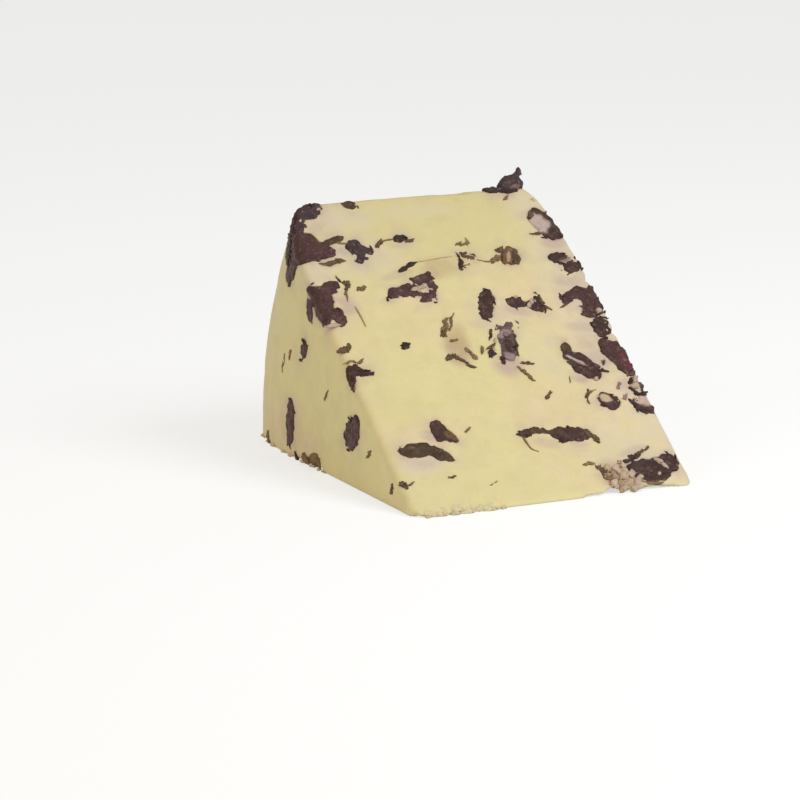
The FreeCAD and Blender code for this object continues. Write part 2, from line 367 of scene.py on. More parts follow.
# Each berry's flesh, and what sets it apart: cover is how much cheese is smeared
# over it. Tints are patches of another colour, as (colour, across, up, length,
# width, turn), and gaps are where cheese divides it, as the same without a colour,
# both in places on the sloping face.
berryKinds = {
    "front_01": {"flesh": "slate", "tints": (("mauve", 26.6, 91.3, 3.2, 0.9, 12),
                                             ("lilac", 21.8, 90.0, 3.4, 0.7, -5)),
                 "gaps": ((21.0, 93.9, 5.8, 3.8, 4), (31.5, 94.1, 4.8, 3.6, 0),
                          (26.6, 97.4, 9.0, 4.0, 26))},
    "front_02": {"flesh": "blue", "cover": 0.3},
    "front_03": {"flesh": "olive"},
    "front_04": {"flesh": "plum", "tints": (("olive", -24.6, 80.4, 6.0, 4.0, 10),)},
    "front_05": {"flesh": "plum", "cover": 0.1},
    "front_06": {"flesh": "dark", "gaps": ((-32.0, 38.0, 5.0, 4.4, 0),)},
    "front_07": {"flesh": "dark", "tints": (("lilac", 27.9, 80.2, 6.0, 6.2, 90),)},
    "front_08": {"flesh": "dark", "gaps": ((30.6, 68.1, 7.5, 0.9, 24),)},
    "front_09": {"flesh": "dark", "gaps": ((30.6, 68.1, 7.5, 0.9, 24),)},
    "front_10": {"flesh": "plum", "cover": 0.08},
    "front_11": {"flesh": "dark"},
    "front_12": {"flesh": "plum", "tints": (("red", 33.2, 36.2, 2.8, 6.0, 12),)},
    "front_13": {"flesh": "dark", "tints": (("pink", 32.8, 25.6, 4.6, 5.4, 20),)},
    "front_14": {"flesh": "blue"},
    "front_15": {"flesh": "black"},
    "front_16": {"flesh": "plum", "cover": 0.12},
    "front_17": {"flesh": "olive", "cover": 0.3},
    "front_18": {"flesh": "nut", "tints": (("beige", 16.7, 70.6, 4.6, 0.9, 68),
                                           ("olive", 18.4, 70.6, 4.0, 1.6, 76))},
    "front_19": {"flesh": "dark"},
    "front_20": {"flesh": "dark", "cover": 0.6},
    "front_21": {"flesh": "grey", "cover": 0.4,
                 "tints": (("dusk", 6.4, 48.4, 4.6, 2.0, 12), ("dusk", 5.0, 41.2, 3.6, 3.4, 60),
                           ("dark", 8.9, 46.4, 8.4, 1.5, 74), ("dark", 6.2, 44.6, 4.4, 2.6, 74))},
    "front_22": {"flesh": "dark", "cover": 0.12, "tints": (("olive", 20.2, 43.4, 5.0, 3.6, 60),
                                                           ("lilac", 20.8, 38.6, 5.0, 0.9, -40))},
    "front_23": {"flesh": "dark", "cover": 0.15, "tints": (("pale", 23.5, 26.9, 3.1, 2.0, -40),)},
    "front_24": {"flesh": "dark", "cover": 0.1, "gaps": ((3.4, 18.8, 5.0, 0.7, -4),),
                 "tints": (("olive", 3.0, 19.9, 6.4, 2.2, -3), ("olive", 7.4, 19.5, 4.8, 1.8, -16),
                           ("nut", 15.2, 17.8, 1.4, 4.0, 30))},
    "front_25": {"flesh": "olive", "grow": 0.38},
    "front_26": {"flesh": "dark", "grow": 0.6, "tints": (("nut", -17.2, 21.4, 4.6, 3.0, -50),)},
    "front_27": {"flesh": "dark", "cover": 0.1, "tints": (("blue", 22.4, 8.8, 5.0, 2.6, 20),)},
    "front_28": {"flesh": "rose", "cover": 1.0},
    "left_01": {"flesh": "dark", "grow": 0.55},
    "left_02": {"flesh": "plum"},
    "left_03": {"flesh": "plum"},
    "left_04": {"flesh": "brown", "cover": 0.5},
}
ridgeBerry = "fruit_front_01"
# the flesh and cover of the berries in the other faces, taken in turn
otherFlesh = ("dark", "plum", "blue", "olive", "plum", "grey", "dark", "brown")
otherCover = (0.0, 0.4, 0.1, 0.7, 0.2)

outlineGrains = [(Grain(11 + k, size), depth) for k, (size, depth) in enumerate(berryLook["lumps"])]
reliefGrains = [(Grain(31 + k, size), depth) for k, (size, depth) in enumerate(berryLook["relief"])]
wrinkleGrains = [(Grain(41 + k, size), depth) for k, (size, depth) in enumerate(berryLook["wrinkles"])]
coverGrain = Grain(51, 2.4)
toneGrain = Grain(61, 2.0)


def veilAt(name, points):
    # how much of a berry is under a smear of cheese, from none to one
    start = 1 - 1.1 * berryKind(name).get("cover", 0.0)
    return ease(start, start + 0.3, coverGrain.at(points))


def layered(grains, points):
    return sum(grain.at(points) * depth for grain, depth in grains)


def patchRatio(points, placeX, placeUp, length, width, turn):
    # an oval on the sloping face: none in its middle, one at its outline
    u, v = turned(points[..., 0] - placeX, points @ lean - placeUp, math.radians(turn))
    return np.sqrt((2 * u / length) ** 2 + (2 * v / width) ** 2)


def berryNames():
    return sorted(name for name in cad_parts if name.startswith("fruit_"))


def berryKind(name):
    kind = berryKinds.get(name.removeprefix("fruit_"))
    if kind:
        return kind
    count = berryNames().index(name)
    return {"flesh": otherFlesh[count % len(otherFlesh)], "cover": otherCover[count % len(otherCover)]}


def berryDirections(name, middle):
    # the two directions along the face that a berry lies in
    if "_front_" in name:
        return across, lean
    if "_under_" in name:
        return across, backward
    if "_rim_" in name:
        angle = math.atan2(middle[2], middle[1])
        return across, np.array([0, -math.sin(angle), math.cos(angle)])
    return backward, upward


def berryField(name):
    # the ragged berry, before its top is cut
    points, triangles = nodeMesh(name)
    plain = fieldOfMesh(points, triangles, berryLook["step"], berryLook["reach"])
    places = plain.points()
    grains = wrinkleGrains if name == ridgeBerry else outlineGrains
    plain.values = plain.values - berryKind(name).get("grow", berryLook["grow"]) + layered(grains, places)
    for *oval, width, turn in berryKind(name).get("gaps", ()):
        gap = (1 - patchRatio(places, *oval, width, turn)) * width / 2
        gap = gap + berryLook["gapRagged"] * coverGrain.at(places * 2.5)
        plain.values = smoothMax(plain.values, gap, berryLook["gapBlend"])
    return plain, places


def berryColours(name, points):
    kind = berryKind(name)
    colours = {title: linear(*value) for title, value in berryLook["colours"].items()}
    tone = 1 + berryLook["tone"] * toneGrain.at(points)
    flesh = colours[kind["flesh"]][None, :] * tone[:, None]
    for title, *oval in kind.get("tints", ()):
        ratio = patchRatio(points, *oval) + berryLook["tintRagged"] * toneGrain.at(points * 1.9)
        share = 1 - ease(*berryLook["tintEdge"], ratio)
        flesh = flesh + (colours[title][None, :] - flesh) * share[:, None]
    return flesh


def makeBerries():
    berries, fields = [], {}
    for name in berryNames():
        field, places = berryField(name)
        fields[name] = Field(field.values.copy(), field.low, field.step)
        if name != ridgeBerry:
            proud = berryLook["proud"]
            relief = layered(reliefGrains, places)
            if "_under_" in name:
                proud, relief = 0.0, -np.abs(relief)
            top = wedgeField(places) - proud - relief + berryLook["veilDepth"] * veilAt(name, places)
            field.values = smoothMax(field.values, top, berryLook["topBlend"])
        points, quads = field.surface()
        points[:, 2] = np.maximum(points[:, 2], 0)
        parts = name.split("_")
        piece = makeMesh("berry" + parts[1].title() + parts[2], points, quads,
                         {"flesh": berryColours(name, points)})
        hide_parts(name)
        berries.append(piece)
    return berries, fields


# The cheese: its grid, the waves and curds of its faces, and what has broken off
# its bottom edges, as (place along the edge, depth lost)
cheeseLook = {
    "step": 0.54,
    "skin": 3,             # the depth on either side of the surface that is worked on
    "waves": ((14.0, 0.20), (5.0, 0.11), (2.2, 0.07)),
    "wavesFrom": (0.2, 1.6),       # the base stays flat below this height
    "frontLoss": ((-36, 1.6), (-34, 0.5), (-32.5, 1.3), (-30.5, 0.3), (-28.5, 1.2), (-26, 0.2), (-24, 0.9),
                  (-22, 0), (-18, 0.3), (-10, 0), (2, 0), (6.5, 0.1), (8.5, 1.1), (12, 1.3), (13.5, 2.0),
                  (15, 3.2), (17, 2.4), (19, 1.3), (21, 1.6), (23, 1.5), (26, 1.3), (29, 0.9), (31, 0.3),
                  (36, 0.2)),
    "leftLoss": ((0, 0.8), (3, 0.2), (20, 0), (46, 0), (48, 1.2), (50, 2.6), (54, 2.2), (58, 1.6),
                 (60, 0.8), (62, 1.3), (64, 0.4), (76, 0), (78.5, 1.8), (81, 1.0), (92, 0.6)),
    "otherLoss": 0.5,
    "lossUp": 7,           # how far from each edge the loss can reach
    "lossIn": 6,
    "ragged": (0.55, 0.25),
    # bites out of the sloping face's edges: across, up, length, width, turn, depth
    "bites": ((34.9, 62.4, 3.4, 2.6, 0, 3), (34.9, 46.2, 3.0, 2.8, 20, 3),
              (34.6, 30.4, 2.4, 1.6, 0, 2), (-33.0, 84.6, 2.0, 1.2, 60, 2),
              (-35.0, 55.2, 2.2, 2.0, 0, 2), (30.2, 88.0, 1.6, 0.8, -60, 2)),
    "corner": 3.4,         # how far the front left corner is worn off
    "under": 1.2,          # the depth at which a berry's outline shapes its pocket
    "film": 0.30,          # how far the cheese creeps over that outline
    "veil": 3,             # how far a smear closes the pocket
    "breakBlend": 0.3,
    "pocketBlend": 0.15,
    "base": 0.12,          # what is lower than this lies flat
}
nowhere = -9               # a loss that takes nothing
waveGrains = [(Grain(71 + k, size), depth) for k, (size, depth) in enumerate(cheeseLook["waves"])]
breakGrain = Grain(81, 1.3)
breakFine = Grain(82, 0.6)


def along(profile, place):
    places, losses = zip(*profile)
    return np.interp(place, places, losses)


def brokenEdges(points):
    # what the crumbled bottom edges leave: positive where cheese has gone
    x, y, z = points[:, 0], points[:, 1], points[:, 2]
    coarse, fine = cheeseLook["ragged"]
    ragged = coarse * breakGrain.at(points) + fine * breakFine.at(points)
    up = points @ lean
    below = -(points @ faceOut)
    front = along(cheeseLook["frontLoss"], x) * (1 + 0.4 * ragged) - 0.1 - up + 0.7 * below
    front = np.where(up < cheeseLook["lossUp"], front, nowhere)
    leftSide = along(cheeseLook["leftLoss"], y) * (1 + 0.5 * ragged) - 0.15 - z + 0.8 * (-halfWidth - x)
    leftSide = np.where(x < -halfWidth + cheeseLook["lossIn"], leftSide, nowhere)
    rightSide = cheeseLook["otherLoss"] * (0.6 + ragged) - 0.15 - z + 0.8 * (x - halfWidth)
    rightSide = np.where(x > halfWidth - cheeseLook["lossIn"], rightSide, nowhere)
    worn = cheeseLook["corner"] * (1 + 0.3 * ragged) - (x + halfWidth) - up - 0.5 * z
    for placeX, placeUp, length, width, turn, depth in cheeseLook["bites"]:
        u, v = turned(x - placeX, up - placeUp, math.radians(turn))
        bite = 1 - np.sqrt((2 * u / length) ** 2 + (2 * v / width) ** 2 + (below / depth) ** 2)
        front = np.maximum(front, bite * width / 2 + 0.3 * ragged)
    return np.maximum(np.maximum(front, leftSide), np.maximum(rightSide, worn))


def makeCheese(berryFields):
    step = cheeseLook["step"]
    low = np.array([-halfWidth - 2, -2, -2])
    high = np.array([halfWidth + 2, wheel["radius"] + 2, wheel["radius"] * math.sin(wheel["angle"]) + 2])
    field = emptyField(low, high, step)
    places = field.points()
    field.values = wedgeField(places).astype(np.float32)
    near = np.abs(field.values) < cheeseLook["skin"]
    nearPlaces = places[near]
    offBase = ease(*cheeseLook["wavesFrom"], nearPlaces[:, 2])
    values = field.values[near] + layered(waveGrains, nearPlaces) * offBase
    values = smoothMax(values, brokenEdges(nearPlaces), cheeseLook["breakBlend"])
    for name, berry in berryFields.items():
        reach = berry.low + berry.step * (np.array(berry.values.shape) - 1)
        close = np.all((nearPlaces > berry.low) & (nearPlaces < reach), axis=1)
        spot = nearPlaces[close]
        pocket = berry.at(beneath(spot, cheeseLook["under"])) + cheeseLook["film"]
        pocket = pocket + cheeseLook["veil"] * veilAt(name, spot)
        values[close] = smoothMax(values[close], -pocket, cheeseLook["pocketBlend"])
    field.values[near] = values
    points, quads = field.surface()
    points[points[:, 2] < cheeseLook["base"], 2] = 0
    return points, quads


def berryDistance(points, berryFields):
    # the distance from the nearest berry's plain solid, up to the reach
    corners, triangles, start = [], [], 0
    for name in berryFields:
        berryCorners, berryTriangles = nodeMesh(name)
        corners.append(berryCorners)
        triangles.append(berryTriangles + start)
        start += len(berryCorners)
    field = fieldOfMesh(np.concatenate(corners), np.concatenate(triangles), juice["step"], juice["reach"])
    return field.at(beneath(points, cheeseLook["under"]), juice["reach"])


# Juice in the cheese: how far it creeps from any berry, and stains in set places on
# the sloping face as (across, up, length, width, turn, strength)
juice = {
    "creep": 2.2,
    "creepStrength": 0.9,
    "step": 0.5,           # of the grid of distances from the berries
    "reach": 6.0,
    "patchy": (0.5, 0.9, 0.35),        # the middle, and what the coarse and fine lumps add
    "evenness": {"milk": (0.6, 1.1), "lilac": (0.7, 1.15), "brown": (0.4, 1.1)},   # added, and the most
    "filmEdge": (-0.5, 0.25),
    "lilac": ((-29.0, 61.0, 7, 9, 80, 0.8), (-27.0, 84.5, 8, 4, 30, 0.5), (-22.5, 77.0, 4, 6, 80, 0.7),
              (-9.0, 77.5, 7, 3, 10, 0.5), (-13, 68.5, 10, 3, 15, 0.5), (-26.0, 15.0, 12, 5, 5, 0.4),
              (-22.0, 22.0, 4, 6, 80, 0.9), (4.5, 16.6, 8, 4, -12, 0.6), (12.0, 15.2, 6, 3, 0, 0.5),
              (4.0, 40.0, 9, 8, 60, 0.9), (12.5, 54.8, 9, 4, -25, 0.7), (27.0, 38.0, 8, 13, 80, 0.7),
              (19.5, 33.8, 6, 4, -30, 0.9), (29.0, 62.0, 10, 5, 0, 0.7), (30.0, 74.0, 8, 5, 0, 0.9),
              (27.5, 48.0, 4, 12, 80, 0.6), (26.5, 52.0, 6, 6, 0, 0.5), (22.5, 90.0, 9, 3, 5, 0.5),
              (15.5, 6.0, 9, 8, 40, 0.8), (24.0, 11.5, 10, 3, 10, 0.6), (31.5, 30.0, 6, 9, 80, 0.7),
              (24.5, 36.5, 12, 9, 80, 0.6), (-7.0, 44.6, 9, 8, 80, 0.6), (2.0, 53.0, 8, 7, 0, 0.4),
              (31.5, 66.0, 6, 20, 0, 0.5), (28.0, 43.0, 7, 14, 80, 0.6),
              (-33.0, 38.8, 5, 3, 0, 0.6), (-33.0, 55.6, 5, 2, 0, 0.8), (2.0, 72.0, 6, 5, 0, 0.25)),
    "brown": ((-6.0, 47.0, 14, 6.5, 75, 0.75), (-6.0, 53.0, 7, 3, 70, 0.4), (6.0, 70.8, 6, 4.5, 0, 0.5),
              (17.0, 71.0, 8, 6, 30, 0.35), (4.0, 84.0, 7, 3.5, 10, 0.22), (11.0, 89.3, 3, 1.6, -20, 0.3),
              (13.5, 91.2, 5, 1.2, 4, 0.4), (-18.0, 22.0, 5, 5, 0, 0.35), (16.5, 5.0, 8, 6, 0, 0.5),
              (-27.0, 73.6, 6, 2.5, 8, 0.3), (1.0, 71.0, 16, 2.5, 3, 0.25), (19, 41, 8, 4, 78, 0.4),
              (-3.0, 69.4, 17, 7, 8, 0.5), (17.0, 6.0, 8, 9, 90, 0.4)),
    # where the cheese is whiter: along the right edge, low on the right, and at the top
    "milk": ((-26.0, 15.0, 15, 7, 5, 1.0), (33.0, 45.0, 24, 118, 0, 0.85), (25.0, 13.0, 26, 20, 0, 0.7),
             (-23.0, 86.5, 26, 10, 0, 0.7),
             (29.0, 87.0, 14, 12, 0, 0.8), (-31.0, 72.0, 14, 16, 0, 0.8), (-20.0, 75.0, 26, 13, 0, 0.6),
             (14.0, 41.0, 16, 22, 60, 0.5), (7.0, 54.0, 16, 9, 0, 0.5), (-1.0, 87.0, 26, 6, 0, 0.4)),
}
juiceGrain = Grain(91, 3.2)
juiceFine = Grain(92, 1.2)


def stainedBy(spots, points):
    depth = np.abs(points @ faceOut)
    total = np.zeros(len(points))
    for *oval, strength in spots:
        total = np.maximum(total, strength * (1 - ease(0.35, 1.35, patchRatio(points, *oval))))
    return total * (1 - ease(2, 5, depth))


def juiceOn(points, distance):
    middle, coarse, fine = juice["patchy"]
    patches = middle + coarse * juiceGrain.at(points) + fine * juiceFine.at(points)
    stains = {}
    for title, (added, most) in juice["evenness"].items():
        stains[title] = stainedBy(juice[title], points) * np.clip(patches + added, 0, most)
    creep = np.exp(-np.maximum(distance, 0) / juice["creep"]) * np.clip(patches, 0.05, 1)
    stains["lilac"] = np.maximum(creep * juice["creepStrength"], stains["lilac"])
    stains = {title: np.clip(stain, 0, 1) for title, stain in stains.items()}
    return {**stains, "film": 1 - ease(*juice["filmEdge"], distance)}


# Small things stuck in or on the cheese. Flecks lie flush in a face, as (first place,
# second place, length, width, turn, flesh): across and up on the front, back and up
# on the sides and on the left shoulder.
flecks = {
    "thick": 0.55,
    "ragged": 0.8,
    "bit": 1.3,            # a longer one is a row of torn bits of this length
    "colours": {"olive": (106, 84, 58), "brown": (142, 114, 78), "faint": (176, 152, 110)},
    "rows": {
        "front": (
            (-13.3, 78.3, 2.6, 1.0, 38, "olive"), (-5.6, 78.4, 1.6, 0.7, 20, "olive"),
            (-26.0, 73.9, 4.2, 1.2, 12, "olive"), (-28.3, 73.6, 1.8, 0.5, -10, "brown"),
            (-25.8, 66.8, 2.2, 1.5, 60, "olive"), (-22.8, 65.6, 2.0, 1.1, 10, "brown"),
            (-27.0, 64.2, 2.6, 0.5, 80, "brown"), (-18.6, 48.0, 1.5, 1.4, 10, "black"),
            (-33.2, 48.7, 3.6, 1.3, 28, "olive"), (-33.2, 44.8, 2.8, 0.5, -2, "brown"),
            (-30.8, 44.5, 1.1, 0.7, 40, "brown"), (-30.9, 41.2, 2.8, 1.7, -18, "dark"),
            (-6.8, 52.2, 5.6, 0.9, 62, "brown"), (-5.0, 53.4, 4.4, 0.6, 66, "brown"),
            (-8.2, 50.2, 1.8, 1.2, 40, "olive"), (-6.2, 48.0, 1.6, 0.6, 0, "brown"),
            (-9.4, 43.3, 1.4, 1.1, 30, "olive"), (-6.6, 41.8, 5.6, 1.0, -52, "olive"),
            (-3.8, 43.6, 3.4, 1.0, -72, "brown"), (-0.6, 44.4, 1.4, 0.8, 70, "brown"),
            (1.4, 43.0, 1.8, 1.0, 75, "black"), (3.2, 48.6, 3.0, 0.8, 66, "dark"),
            (2.0, 45.2, 1.6, 0.6, 40, "olive"), (7.4, 43.4, 1.8, 1.0, 70, "black"),
            (3.2, 41.0, 2.0, 0.9, 60, "dark"), (8.6, 39.2, 2.4, 0.8, -5, "olive"),
            (7.2, 36.2, 4.6, 1.0, -62, "brown"), (10.2, 29.6, 1.8, 0.7, 65, "olive"),
            (6.6, 75.9, 3.0, 0.7, -6, "brown"), (8.3, 76.6, 2.2, 0.35, 70, "faint"),
            (13.3, 70.4, 2.8, 1.3, 12, "brown"), (4.1, 70.8, 4.4, 0.9, 78, "dark"),
            (6.5, 72.3, 2.3, 1.5, -24, "olive"), (5.2, 69.4, 2.0, 0.7, 8, "brown"),
            (15.6, 73.1, 1.5, 1.1, 30, "olive"), (18.6, 73.2, 1.5, 1.1, -40, "olive"),
            (18.7, 69.5, 1.4, 1.2, 30, "olive"), (23.4, 88.8, 1.1, 0.6, 60, "brown"),
            (19.6, 56.0, 3.8, 1.0, -72, "olive"), (12.0, 57.6, 2.2, 0.7, 40, "olive"),
            (26.0, 34.9, 2.4, 0.6, -14, "dark"), (17.0, 33.0, 2.0, 0.5, 74, "brown"),
            (27.3, 37.2, 1.0, 0.5, 60, "grey"), (28.2, 30.3, 1.4, 0.8, 30, "rose"),
            (28.3, 26.5, 1.4, 0.9, 30, "rose"), (31.8, 31.2, 1.4, 1.2, 40, "black"),
            (31.4, 28.2, 2.4, 0.9, -50, "dark"), (32.6, 27.2, 2.6, 1.2, 10, "black"),
            (33.8, 29.2, 2.6, 0.9, 80, "grey"), (33.0, 33.2, 2.2, 0.9, 40, "grey"),
            (19.3, 28.0, 3.4, 0.9, 62, "olive"), (20.6, 29.2, 1.8, 0.6, 10, "brown"),
            (-13.0, 7.0, 2.6, 0.5, 24, "brown"), (-21.9, 10.1, 1.5, 0.8, 15, "olive"),
            (-33.5, 9.9, 2.0, 1.2, -40, "olive"), (-31.8, 9.8, 1.6, 0.5, 10, "brown"),
            (-13.2, 22.4, 1.2, 0.6, 40, "brown"), (11.6, 9.3, 2.8, 0.8, 0, "brown"),
            (14.2, 7.4, 2.6, 1.2, -50, "olive"), (15.0, 4.8, 2.4, 0.7, 0, "brown"),
            (18.8, 8.2, 2.0, 0.8, 70, "rose"), (16.6, 3.2, 3.0, 0.7, 40, "dark"),
            (26.2, 11.2, 3.6, 1.0, 26, "olive"), (22.8, 9.4, 4.2, 1.3, 10, "plum"),
            (15.8, 16.9, 3.6, 1.2, -62, "olive"), (0.0, 19.9, 2.8, 1.9, -5, "dark"),
            (27.9, 83.2, 3.0, 1.0, 40, "olive"), (26.8, 77.2, 1.8, 1.0, -20, "olive"),
        ),
        "left": (
            (45.0, 18.0, 1.9, 0.8, -70, "brown"), (11.3, 4.2, 2.2, 1.3, -60, "olive"),
            (23.0, 9.6, 2.6, 0.7, -55, "brown"), (64.2, 24.0, 2.4, 0.7, -60, "brown"),
            (67.6, 21.8, 2.6, 0.6, -70, "brown"), (68.6, 20.2, 2.4, 0.5, -70, "brown"),
            (32.6, 23.9, 1.9, 1.5, 60, "dark"), (79.0, 1.2, 2.2, 1.6, 80, "brown"),
            (61.2, 0.9, 1.6, 1.2, 60, "dark"),
        ),
        "shoulder": (
            (69.6, 52.8, 4.2, 3.6, 90, "plum"), (69.3, 49.6, 4.6, 4.6, 90, "slate"),
            (69.0, 46.4, 4.6, 4.2, 84, "slate"),
        ),
    },
    # on the sides that face away: how many, their length, how slim, and their flesh
    "others": {"sides": ("right", "rim", "rim"), "number": 46, "length": (1.2, 4.0), "slim": (0.25, 0.6),
               "flesh": ("olive", "dark", "brown", "plum")},
    # torn skin round each berry that a cut has opened: how many round one of this
    # size, how much more round a large one, and where and how large they are
    "shreds": {"number": 4, "berry": 9, "most": 1.6, "away": (-0.1, 0.9), "size": (0.5, 1.2),
               "slim": (0.35, 0.7), "turn": (-40, 40), "clearOfTints": 1.5,
               # the height over the face, give or take, of the berry's corners at its
               # opened top, and how few of them make a top
               "opened": (0.3, 0.25), "fewest": 6},
}
# Torn skins, and cracks drawn as brown lines that are partly their brown and partly painted shade of the
# uncut cracks, as (width, flesh, places across and up the sloping face); the last two are painted shade
# under the bottom berry
threads = (
    (1.3, "black", ((-12.0, 69.3), (-10.2, 70.2), (-8.2, 71.2), (-6.2, 71.8))),
    (0.6, "faint", ((-6.6, 71.7), (-3, 71.9), (0, 72.2), (3, 72.4))),
    (0.6, "brown", ((-24.0, 79.9), (-22.6, 79.3), (-20.8, 79.1))),
    (0.4, "brown", ((-12.4, 78.9), (-11.4, 79.1), (-10.4, 79.2), (-9.4, 79.2))),
    (0.4, "brown", ((8.5, 70.8), (11, 70.0), (14, 70.2))),
    (1.1, "olive", ((23.0, 54.1), (24.8, 54.9), (26.6, 56.4), (28.6, 57.8))),
    (1.2, "black", ((29.0, 26.2), (29.9, 24.0), (31.2, 22.4), (33.6, 21.9))),
    (0.5, "brown", ((-0.9, 19.0), (-0.6, 16.8), (-0.2, 15.2), (1.2, 14.3))),
    (0.7, "olive", ((13.6, 5.0), (13.9, 6.4), (13.7, 7.8), (14.4, 8.8))),
    (0.35, "faint", ((-26.2, 60.5), (-25.9, 57.5), (-25.8, 54.5))),
    (0.9, "plum", ((31.6, 53.2), (33.0, 54.6), (34.2, 56.4))),
    (0.35, "rose", ((19.2, 39.4), (20.6, 38.5), (22.0, 37.2), (23.2, 36.6))),
    # painted shade: the dark and brown strips below fill the shadowed undercut beneath the berry at the
    # bottom edge
    (2.4, "dark", ((21.4, 4.7), (23.6, 3.5), (26.0, 2.9), (28.6, 3.3), (30.0, 4.2))),
    (1.0, "brown", ((21.6, 3.4), (23.4, 2.4), (25.6, 2.0), (27.6, 1.9))),
)
threadShape = {"steps": 6, "sides": 8, "thick": 0.22, "uneven": 0.5}
# Crumbs in set places on the sloping face, as (across, up, length, width, turn). The
# juicy ones lie where the berry at the bottom edge broke up. The rest are strewn:
# how many, how large, and where. A stain is how much lilac, brown and film it has.
crumbs = {
    "ragged": 0.46,
    "milk": 0.4,
    "juicy": ((15.6, 7.6, 2.2, 1.3, 60), (17.6, 7.0, 2.4, 1.7, 20), (19.6, 7.6, 2.2, 1.2, 70),
              (16.4, 5.2, 2.4, 1.6, -20), (18.6, 5.0, 2.6, 1.7, 30), (20.6, 4.9, 2.4, 1.5, 60),
              (15.4, 3.4, 2.0, 1.2, 20), (17.2, 3.0, 2.4, 1.4, 20), (19.2, 2.8, 2.2, 1.4, -30),
              (21.0, 2.5, 2.4, 1.8, 55), (22.2, 3.9, 1.7, 1.2, 10), (14.8, 5.6, 1.5, 1.1, 80),
              (17.0, 1.5, 1.7, 1.1, 0), (19.6, 1.2, 1.6, 1.1, 20)),
    "front": ((-9.3, 63.8, 3.0, 1.5, 20), (-7.4, 64.5, 1.7, 1.1, 50), (3.5, 46.6, 1.5, 0.6, 64),
              (2.3, 44.3, 1.2, 0.6, 60), (20.6, 38.6, 2.6, 0.5, -38),
              (23.5, 32.8, 1.5, 0.9, 40), (28.7, 7.9, 2.2, 1.2, -50),
              (29.6, 6.4, 2.0, 1.0, -60), (27.3, 4.4, 1.0, 0.8, 60), (21.3, 3.2, 3.0, 1.6, 50),
              (20.9, 5.2, 1.8, 1.2, 70), (-33.4, 55.6, 3.4, 1.0, 5), (32.0, 29.4, 2.2, 1.6, 0),
              (33.0, 31.4, 1.8, 1.2, 50), (32.6, 52.4, 1.7, 1.1, 40), (16.0, 55.9, 1.8, 1.0, 60),
              (17.0, 56.8, 1.6, 0.8, 70), (13.6, 58.6, 1.2, 0.7, 30), (17.4, 2.4, 2.4, 1.3, 20),
              (15.7, 2.3, 1.4, 1.0, 20), (-24.3, 90.1, 1.0, 0.7, 30), (-30.0, 87.0, 1.4, 0.7, 60)),
    # taken in turn by the juicy ones
    "juicyStains": ((0.8, 0.6, 0.1), (1.0, 0.2, 0.0), (0.7, 0.3, 0.0), (0.5, 0.9, 0.5)),
    "frontStain": (1.0, 0.1, 0.2),
    "onBerries": {"number": 15, "size": (0.25, 0.55), "stain": (0.7, 0.2, 0.1)},
    # bigger ones along the left of the front bottom edge
    "corner": {"number": 26, "size": (0.8, 1.9), "across": (3.2, 21), "up": (0.5, 2.2),
               "stain": (0.0, 0.0, 0.0)},
    # at the foot of the front's left part and of the left side's far part
    "alongEdge": {"number": 40, "size": (0.4, 1.3), "across": (3, 22), "up": (0.2, 0.8), "back": (46, 88),
                  "stain": (0.3, 0.1, 0.0)},
}


def ball():
    # a sphere of triangles, as points and faces
    made = bpy.data.meshes.new("ball")
    work = bmesh.new()
    bmesh.ops.create_icosphere(work, subdivisions=3, radius=1)
    work.to_mesh(made)
    work.free()
    points = np.array([v.co[:] for v in made.vertices])
    faces = np.array([p.vertices[:] for p in made.polygons])
    bpy.data.meshes.remove(made)
    return points, faces


class Heap:
    # many small closed forms gathered into one mesh, with a value for each point
    def __init__(self):
        self.points = []
        self.faces = []
        self.values = []
        self.count = 0

    def add(self, points, faces, values):
        self.points.append(points)
        self.faces.append(faces + self.count)
        self.values.append(values)
        self.count += len(points)

    def joined(self):
        # nothing lies lower than what the wedge rests on
        points = np.concatenate(self.points)
        points[:, 2] = np.maximum(points[:, 2], 0)
        return points, np.concatenate(self.faces), np.concatenate(self.values)


ballPoints, ballFaces = ball()
lumpGrain = Grain(101, 0.55)
lumpFine = Grain(102, 0.22)


def lump(place, length, width, thick, directions, salt, ragged):
    # a ragged ball, flattened along the third direction; the salt makes each one different
    first, second, third = directions
    shift = ballPoints + np.array([salt * 3.1, salt * 1.7, salt * 0.9])
    size = 1 + ragged * lumpGrain.at(shift) + 0.5 * ragged * lumpFine.at(shift)
    shaped = ballPoints * size[:, None]
    return (place + np.outer(shaped[:, 0] * length / 2, first) + np.outer(shaped[:, 1] * width / 2, second)
            + np.outer(shaped[:, 2] * thick / 2, third))


